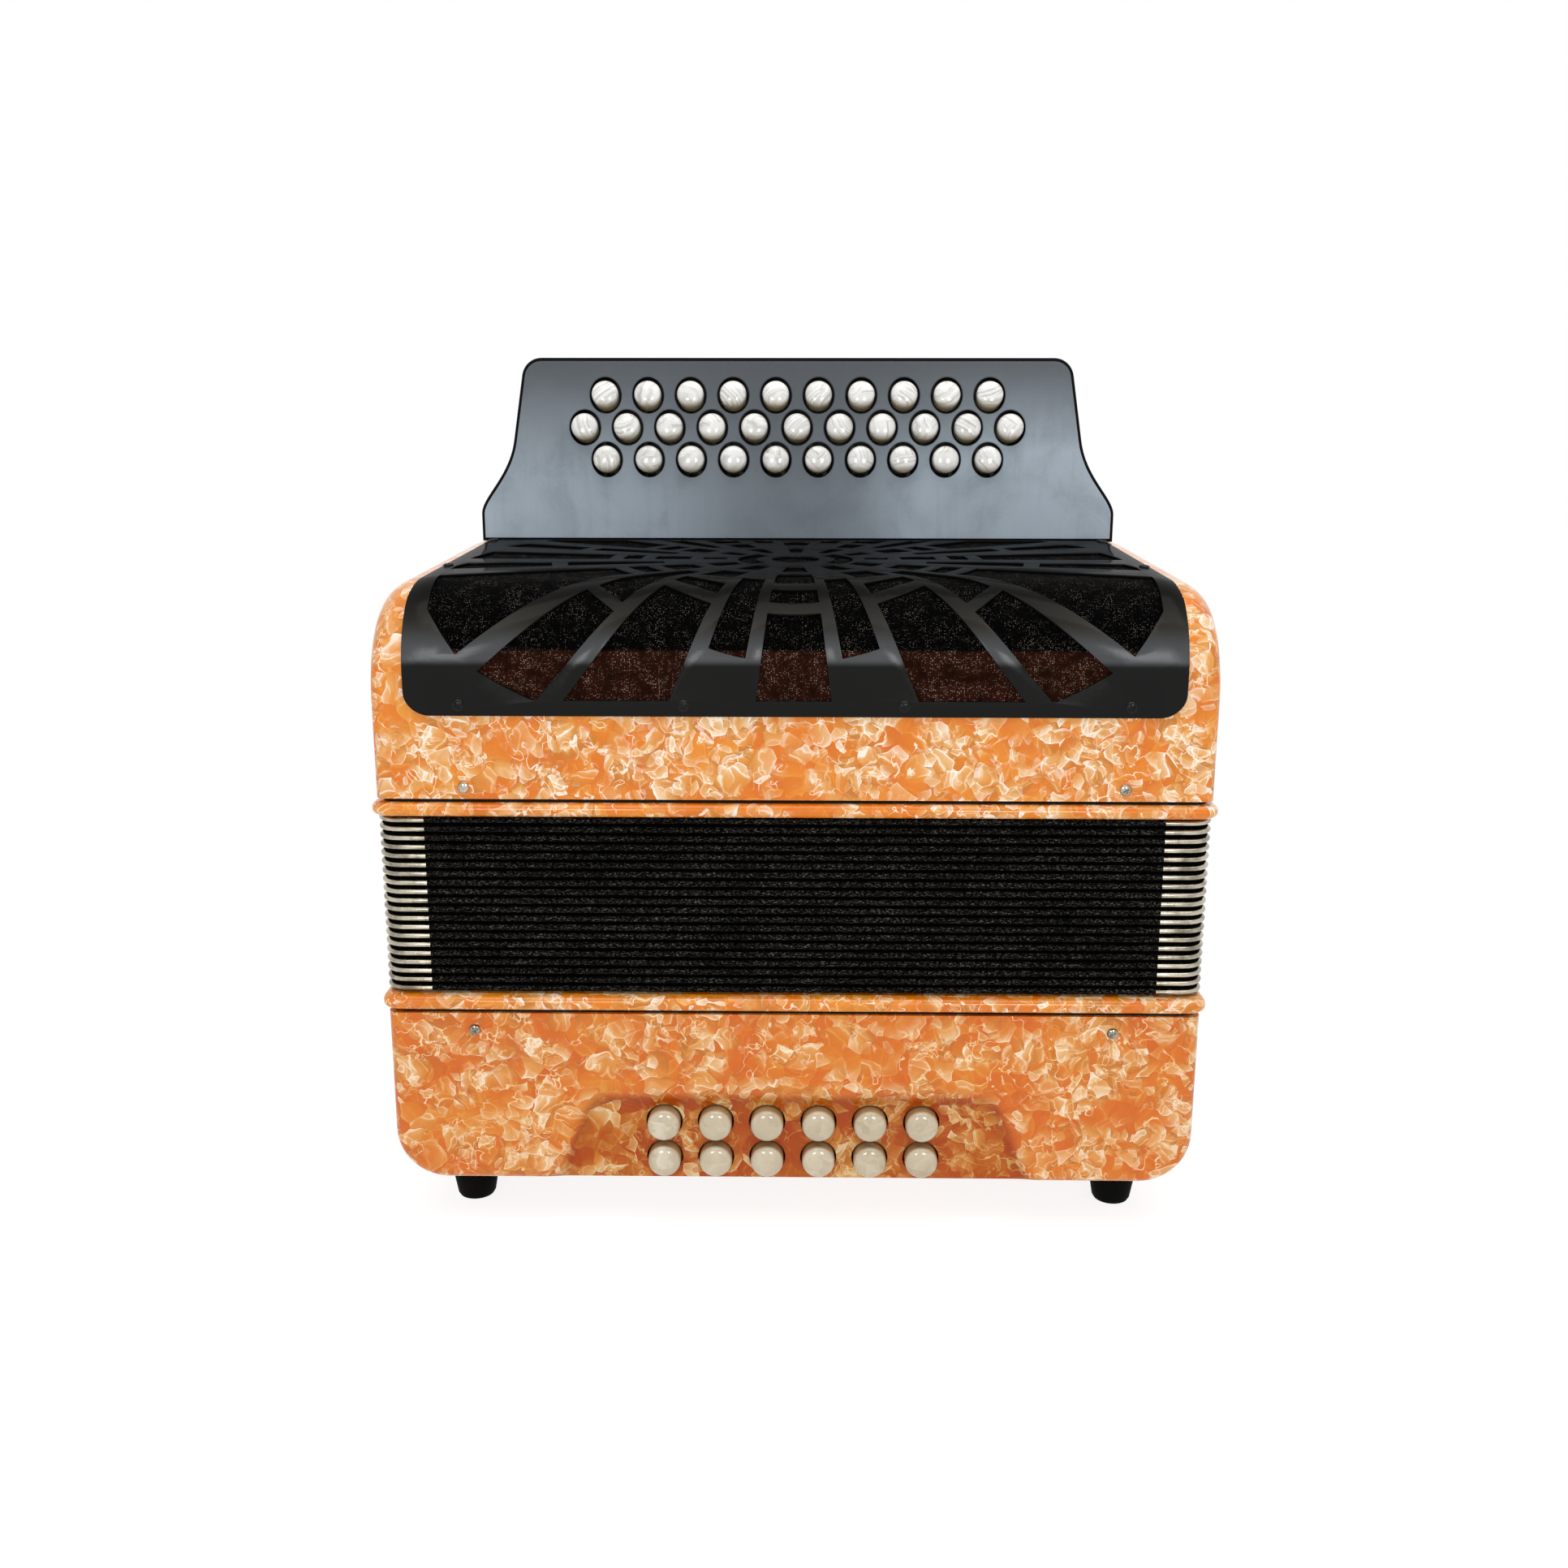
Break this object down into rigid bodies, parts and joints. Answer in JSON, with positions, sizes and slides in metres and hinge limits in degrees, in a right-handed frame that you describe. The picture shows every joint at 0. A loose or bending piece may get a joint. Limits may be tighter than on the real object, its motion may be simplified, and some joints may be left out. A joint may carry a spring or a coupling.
{
  "type": "diatonic button accordion",
  "caption": "Diatonic button accordion standing closed on its bass end, with orange pearloid cases, a web-cut grille, a raised fingerboard, folding bellows and sprung buttons.",
  "frame": {"origin": "centre of the bounding box in X and Y, on the surface that the feet stand on", "axes": "+Z from the bass end up to the treble end, -Y towards the player's view of the keyboard and the bass buttons, +X along the button rows"},
  "size_m": [0.314, 0.189, 0.3368],
  "materials": {
    "orange_pearloid": "glossy orange pearloid celluloid over a wooden case",
    "grille_black": "black enamelled sheet metal",
    "fingerboard_satin": "satin black with a bluish sheen",
    "bellows_cloth": "black cloth over card",
    "treble_pearl": "white pearl",
    "bass_pearl": "cream pearl",
    "spruce": "bare spruce",
    "steel": "drawn steel rod",
    "black_rubber": "matte black rubber",
    "black_leather": "black strap leather"
  },
  "bodies": {
    "bass": {"bass_case": "orange_pearloid", "bass_bellows_frame": "orange_pearloid", "bass_soundboard": "spruce", "bellows": "bellows_cloth", "bass_strap": "black_leather", "foot_front_left": "black_rubber", "foot_front_right": "black_rubber", "foot_rear_left": "black_rubber", "foot_rear_right": "black_rubber"},
    "treble": {"treble_case": "orange_pearloid", "fingerboard": "fingerboard_satin", "fingerboard_back": "fingerboard_satin", "grille": "grille_black", "treble_soundboard": "spruce", "key_axle": "steel", "treble_bellows_frame": "orange_pearloid"},
    "treble_key_outer_01": {"treble_key_outer_01": "treble_pearl"},
    "treble_key_outer_02": {"treble_key_outer_02": "treble_pearl"},
    "treble_key_outer_03": {"treble_key_outer_03": "treble_pearl"},
    "treble_key_outer_04": {"treble_key_outer_04": "treble_pearl"},
    "treble_key_outer_05": {"treble_key_outer_05": "treble_pearl"},
    "treble_key_outer_06": {"treble_key_outer_06": "treble_pearl"},
    "treble_key_outer_07": {"treble_key_outer_07": "treble_pearl"},
    "treble_key_outer_08": {"treble_key_outer_08": "treble_pearl"},
    "treble_key_outer_09": {"treble_key_outer_09": "treble_pearl"},
    "treble_key_outer_10": {"treble_key_outer_10": "treble_pearl"},
    "treble_key_middle_01": {"treble_key_middle_01": "treble_pearl"},
    "treble_key_middle_02": {"treble_key_middle_02": "treble_pearl"},
    "treble_key_middle_03": {"treble_key_middle_03": "treble_pearl"},
    "treble_key_middle_04": {"treble_key_middle_04": "treble_pearl"},
    "treble_key_middle_05": {"treble_key_middle_05": "treble_pearl"},
    "treble_key_middle_06": {"treble_key_middle_06": "treble_pearl"},
    "treble_key_middle_07": {"treble_key_middle_07": "treble_pearl"},
    "treble_key_middle_08": {"treble_key_middle_08": "treble_pearl"},
    "treble_key_middle_09": {"treble_key_middle_09": "treble_pearl"},
    "treble_key_middle_10": {"treble_key_middle_10": "treble_pearl"},
    "treble_key_middle_11": {"treble_key_middle_11": "treble_pearl"},
    "treble_key_inner_01": {"treble_key_inner_01": "treble_pearl"},
    "treble_key_inner_02": {"treble_key_inner_02": "treble_pearl"},
    "treble_key_inner_03": {"treble_key_inner_03": "treble_pearl"},
    "treble_key_inner_04": {"treble_key_inner_04": "treble_pearl"},
    "treble_key_inner_05": {"treble_key_inner_05": "treble_pearl"},
    "treble_key_inner_06": {"treble_key_inner_06": "treble_pearl"},
    "treble_key_inner_07": {"treble_key_inner_07": "treble_pearl"},
    "treble_key_inner_08": {"treble_key_inner_08": "treble_pearl"},
    "treble_key_inner_09": {"treble_key_inner_09": "treble_pearl"},
    "treble_key_inner_10": {"treble_key_inner_10": "treble_pearl"},
    "bass_button_01": {"bass_button_01": "bass_pearl"},
    "bass_button_02": {"bass_button_02": "bass_pearl"},
    "bass_button_03": {"bass_button_03": "bass_pearl"},
    "bass_button_04": {"bass_button_04": "bass_pearl"},
    "bass_button_05": {"bass_button_05": "bass_pearl"},
    "bass_button_06": {"bass_button_06": "bass_pearl"},
    "bass_button_07": {"bass_button_07": "bass_pearl"},
    "bass_button_08": {"bass_button_08": "bass_pearl"},
    "bass_button_09": {"bass_button_09": "bass_pearl"},
    "bass_button_10": {"bass_button_10": "bass_pearl"},
    "bass_button_11": {"bass_button_11": "bass_pearl"},
    "bass_button_12": {"bass_button_12": "bass_pearl"},
    "air_button": {"air_button": "bass_pearl"}
  },
  "joints": [
    {"name": "bellows_slide", "type": "slide", "parent": "bass", "child": "treble", "axis": [0, 0, 1], "range_m": [0, 0.3], "deforming": ["bellows"]},
    {"name": "treble_key_outer_01_hinge", "type": "hinge", "parent": "treble", "child": "treble_key_outer_01", "pos_m": [-0.08536, 0.0775, 0.2457], "axis": [1, 0, 0], "range_deg": [-2.3, 0], "stiffness_Nm_per_rad": 0.2, "springref_deg": 16.04},
    {"name": "treble_key_outer_02_hinge", "type": "hinge", "parent": "treble", "child": "treble_key_outer_02", "pos_m": [-0.0664, 0.0775, 0.2457], "axis": [1, 0, 0], "range_deg": [-2.3, 0], "stiffness_Nm_per_rad": 0.2, "springref_deg": 16.04},
    {"name": "treble_key_outer_03_hinge", "type": "hinge", "parent": "treble", "child": "treble_key_outer_03", "pos_m": [-0.04743, 0.0775, 0.2457], "axis": [1, 0, 0], "range_deg": [-2.3, 0], "stiffness_Nm_per_rad": 0.2, "springref_deg": 16.04},
    {"name": "treble_key_outer_04_hinge", "type": "hinge", "parent": "treble", "child": "treble_key_outer_04", "pos_m": [-0.02846, 0.0775, 0.2457], "axis": [1, 0, 0], "range_deg": [-2.3, 0], "stiffness_Nm_per_rad": 0.2, "springref_deg": 16.04},
    {"name": "treble_key_outer_05_hinge", "type": "hinge", "parent": "treble", "child": "treble_key_outer_05", "pos_m": [-0.00949, 0.0775, 0.2457], "axis": [1, 0, 0], "range_deg": [-2.3, 0], "stiffness_Nm_per_rad": 0.2, "springref_deg": 16.04},
    {"name": "treble_key_outer_06_hinge", "type": "hinge", "parent": "treble", "child": "treble_key_outer_06", "pos_m": [0.00949, 0.0775, 0.2457], "axis": [1, 0, 0], "range_deg": [-2.3, 0], "stiffness_Nm_per_rad": 0.2, "springref_deg": 16.04},
    {"name": "treble_key_outer_07_hinge", "type": "hinge", "parent": "treble", "child": "treble_key_outer_07", "pos_m": [0.02846, 0.0775, 0.2457], "axis": [1, 0, 0], "range_deg": [-2.3, 0], "stiffness_Nm_per_rad": 0.2, "springref_deg": 16.04},
    {"name": "treble_key_outer_08_hinge", "type": "hinge", "parent": "treble", "child": "treble_key_outer_08", "pos_m": [0.04743, 0.0775, 0.2457], "axis": [1, 0, 0], "range_deg": [-2.3, 0], "stiffness_Nm_per_rad": 0.2, "springref_deg": 16.04},
    {"name": "treble_key_outer_09_hinge", "type": "hinge", "parent": "treble", "child": "treble_key_outer_09", "pos_m": [0.0664, 0.0775, 0.2457], "axis": [1, 0, 0], "range_deg": [-2.3, 0], "stiffness_Nm_per_rad": 0.2, "springref_deg": 16.04},
    {"name": "treble_key_outer_10_hinge", "type": "hinge", "parent": "treble", "child": "treble_key_outer_10", "pos_m": [0.08536, 0.0775, 0.2457], "axis": [1, 0, 0], "range_deg": [-2.3, 0], "stiffness_Nm_per_rad": 0.2, "springref_deg": 16.04},
    {"name": "treble_key_middle_01_hinge", "type": "hinge", "parent": "treble", "child": "treble_key_middle_01", "pos_m": [-0.09485, 0.0775, 0.2457], "axis": [1, 0, 0], "range_deg": [-2.8, 0], "stiffness_Nm_per_rad": 0.2, "springref_deg": 16.04},
    {"name": "treble_key_middle_02_hinge", "type": "hinge", "parent": "treble", "child": "treble_key_middle_02", "pos_m": [-0.07588, 0.0775, 0.2457], "axis": [1, 0, 0], "range_deg": [-2.8, 0], "stiffness_Nm_per_rad": 0.2, "springref_deg": 16.04},
    {"name": "treble_key_middle_03_hinge", "type": "hinge", "parent": "treble", "child": "treble_key_middle_03", "pos_m": [-0.05691, 0.0775, 0.2457], "axis": [1, 0, 0], "range_deg": [-2.8, 0], "stiffness_Nm_per_rad": 0.2, "springref_deg": 16.04},
    {"name": "treble_key_middle_04_hinge", "type": "hinge", "parent": "treble", "child": "treble_key_middle_04", "pos_m": [-0.03794, 0.0775, 0.2457], "axis": [1, 0, 0], "range_deg": [-2.8, 0], "stiffness_Nm_per_rad": 0.2, "springref_deg": 16.04},
    {"name": "treble_key_middle_05_hinge", "type": "hinge", "parent": "treble", "child": "treble_key_middle_05", "pos_m": [-0.01897, 0.0775, 0.2457], "axis": [1, 0, 0], "range_deg": [-2.8, 0], "stiffness_Nm_per_rad": 0.2, "springref_deg": 16.04},
    {"name": "treble_key_middle_06_hinge", "type": "hinge", "parent": "treble", "child": "treble_key_middle_06", "pos_m": [0, 0.0775, 0.2457], "axis": [1, 0, 0], "range_deg": [-2.8, 0], "stiffness_Nm_per_rad": 0.2, "springref_deg": 16.04},
    {"name": "treble_key_middle_07_hinge", "type": "hinge", "parent": "treble", "child": "treble_key_middle_07", "pos_m": [0.01897, 0.0775, 0.2457], "axis": [1, 0, 0], "range_deg": [-2.8, 0], "stiffness_Nm_per_rad": 0.2, "springref_deg": 16.04},
    {"name": "treble_key_middle_08_hinge", "type": "hinge", "parent": "treble", "child": "treble_key_middle_08", "pos_m": [0.03794, 0.0775, 0.2457], "axis": [1, 0, 0], "range_deg": [-2.8, 0], "stiffness_Nm_per_rad": 0.2, "springref_deg": 16.04},
    {"name": "treble_key_middle_09_hinge", "type": "hinge", "parent": "treble", "child": "treble_key_middle_09", "pos_m": [0.05691, 0.0775, 0.2457], "axis": [1, 0, 0], "range_deg": [-2.8, 0], "stiffness_Nm_per_rad": 0.2, "springref_deg": 16.04},
    {"name": "treble_key_middle_10_hinge", "type": "hinge", "parent": "treble", "child": "treble_key_middle_10", "pos_m": [0.07588, 0.0775, 0.2457], "axis": [1, 0, 0], "range_deg": [-2.8, 0], "stiffness_Nm_per_rad": 0.2, "springref_deg": 16.04},
    {"name": "treble_key_middle_11_hinge", "type": "hinge", "parent": "treble", "child": "treble_key_middle_11", "pos_m": [0.09485, 0.0775, 0.2457], "axis": [1, 0, 0], "range_deg": [-2.8, 0], "stiffness_Nm_per_rad": 0.2, "springref_deg": 16.04},
    {"name": "treble_key_inner_01_hinge", "type": "hinge", "parent": "treble", "child": "treble_key_inner_01", "pos_m": [-0.08536, 0.0775, 0.2457], "axis": [1, 0, 0], "range_deg": [-3.6, 0], "stiffness_Nm_per_rad": 0.2, "springref_deg": 16.04},
    {"name": "treble_key_inner_02_hinge", "type": "hinge", "parent": "treble", "child": "treble_key_inner_02", "pos_m": [-0.0664, 0.0775, 0.2457], "axis": [1, 0, 0], "range_deg": [-3.6, 0], "stiffness_Nm_per_rad": 0.2, "springref_deg": 16.04},
    {"name": "treble_key_inner_03_hinge", "type": "hinge", "parent": "treble", "child": "treble_key_inner_03", "pos_m": [-0.04743, 0.0775, 0.2457], "axis": [1, 0, 0], "range_deg": [-3.6, 0], "stiffness_Nm_per_rad": 0.2, "springref_deg": 16.04},
    {"name": "treble_key_inner_04_hinge", "type": "hinge", "parent": "treble", "child": "treble_key_inner_04", "pos_m": [-0.02846, 0.0775, 0.2457], "axis": [1, 0, 0], "range_deg": [-3.6, 0], "stiffness_Nm_per_rad": 0.2, "springref_deg": 16.04},
    {"name": "treble_key_inner_05_hinge", "type": "hinge", "parent": "treble", "child": "treble_key_inner_05", "pos_m": [-0.00949, 0.0775, 0.2457], "axis": [1, 0, 0], "range_deg": [-3.6, 0], "stiffness_Nm_per_rad": 0.2, "springref_deg": 16.04},
    {"name": "treble_key_inner_06_hinge", "type": "hinge", "parent": "treble", "child": "treble_key_inner_06", "pos_m": [0.00949, 0.0775, 0.2457], "axis": [1, 0, 0], "range_deg": [-3.6, 0], "stiffness_Nm_per_rad": 0.2, "springref_deg": 16.04},
    {"name": "treble_key_inner_07_hinge", "type": "hinge", "parent": "treble", "child": "treble_key_inner_07", "pos_m": [0.02846, 0.0775, 0.2457], "axis": [1, 0, 0], "range_deg": [-3.6, 0], "stiffness_Nm_per_rad": 0.2, "springref_deg": 16.04},
    {"name": "treble_key_inner_08_hinge", "type": "hinge", "parent": "treble", "child": "treble_key_inner_08", "pos_m": [0.04743, 0.0775, 0.2457], "axis": [1, 0, 0], "range_deg": [-3.6, 0], "stiffness_Nm_per_rad": 0.2, "springref_deg": 16.04},
    {"name": "treble_key_inner_09_hinge", "type": "hinge", "parent": "treble", "child": "treble_key_inner_09", "pos_m": [0.0664, 0.0775, 0.2457], "axis": [1, 0, 0], "range_deg": [-3.6, 0], "stiffness_Nm_per_rad": 0.2, "springref_deg": 16.04},
    {"name": "treble_key_inner_10_hinge", "type": "hinge", "parent": "treble", "child": "treble_key_inner_10", "pos_m": [0.08536, 0.0775, 0.2457], "axis": [1, 0, 0], "range_deg": [-3.6, 0], "stiffness_Nm_per_rad": 0.2, "springref_deg": 16.04},
    {"name": "bass_button_01_slide", "type": "slide", "parent": "bass", "child": "bass_button_01", "axis": [0, 1, 0], "range_m": [0, 0.0045], "stiffness_N_per_m": 150, "springref_m": -0.006},
    {"name": "bass_button_02_slide", "type": "slide", "parent": "bass", "child": "bass_button_02", "axis": [0, 1, 0], "range_m": [0, 0.0045], "stiffness_N_per_m": 150, "springref_m": -0.006},
    {"name": "bass_button_03_slide", "type": "slide", "parent": "bass", "child": "bass_button_03", "axis": [0, 1, 0], "range_m": [0, 0.0045], "stiffness_N_per_m": 150, "springref_m": -0.006},
    {"name": "bass_button_04_slide", "type": "slide", "parent": "bass", "child": "bass_button_04", "axis": [0, 1, 0], "range_m": [0, 0.0045], "stiffness_N_per_m": 150, "springref_m": -0.006},
    {"name": "bass_button_05_slide", "type": "slide", "parent": "bass", "child": "bass_button_05", "axis": [0, 1, 0], "range_m": [0, 0.0045], "stiffness_N_per_m": 150, "springref_m": -0.006},
    {"name": "bass_button_06_slide", "type": "slide", "parent": "bass", "child": "bass_button_06", "axis": [0, 1, 0], "range_m": [0, 0.0045], "stiffness_N_per_m": 150, "springref_m": -0.006},
    {"name": "bass_button_07_slide", "type": "slide", "parent": "bass", "child": "bass_button_07", "axis": [0, 1, 0], "range_m": [0, 0.0045], "stiffness_N_per_m": 150, "springref_m": -0.006},
    {"name": "bass_button_08_slide", "type": "slide", "parent": "bass", "child": "bass_button_08", "axis": [0, 1, 0], "range_m": [0, 0.0045], "stiffness_N_per_m": 150, "springref_m": -0.006},
    {"name": "bass_button_09_slide", "type": "slide", "parent": "bass", "child": "bass_button_09", "axis": [0, 1, 0], "range_m": [0, 0.0045], "stiffness_N_per_m": 150, "springref_m": -0.006},
    {"name": "bass_button_10_slide", "type": "slide", "parent": "bass", "child": "bass_button_10", "axis": [0, 1, 0], "range_m": [0, 0.0045], "stiffness_N_per_m": 150, "springref_m": -0.006},
    {"name": "bass_button_11_slide", "type": "slide", "parent": "bass", "child": "bass_button_11", "axis": [0, 1, 0], "range_m": [0, 0.0045], "stiffness_N_per_m": 150, "springref_m": -0.006},
    {"name": "bass_button_12_slide", "type": "slide", "parent": "bass", "child": "bass_button_12", "axis": [0, 1, 0], "range_m": [0, 0.0045], "stiffness_N_per_m": 150, "springref_m": -0.006},
    {"name": "air_button_slide", "type": "slide", "parent": "bass", "child": "air_button", "axis": [0, 0, 1], "range_m": [0, 0.005], "stiffness_N_per_m": 150, "springref_m": -0.006}
  ]
}
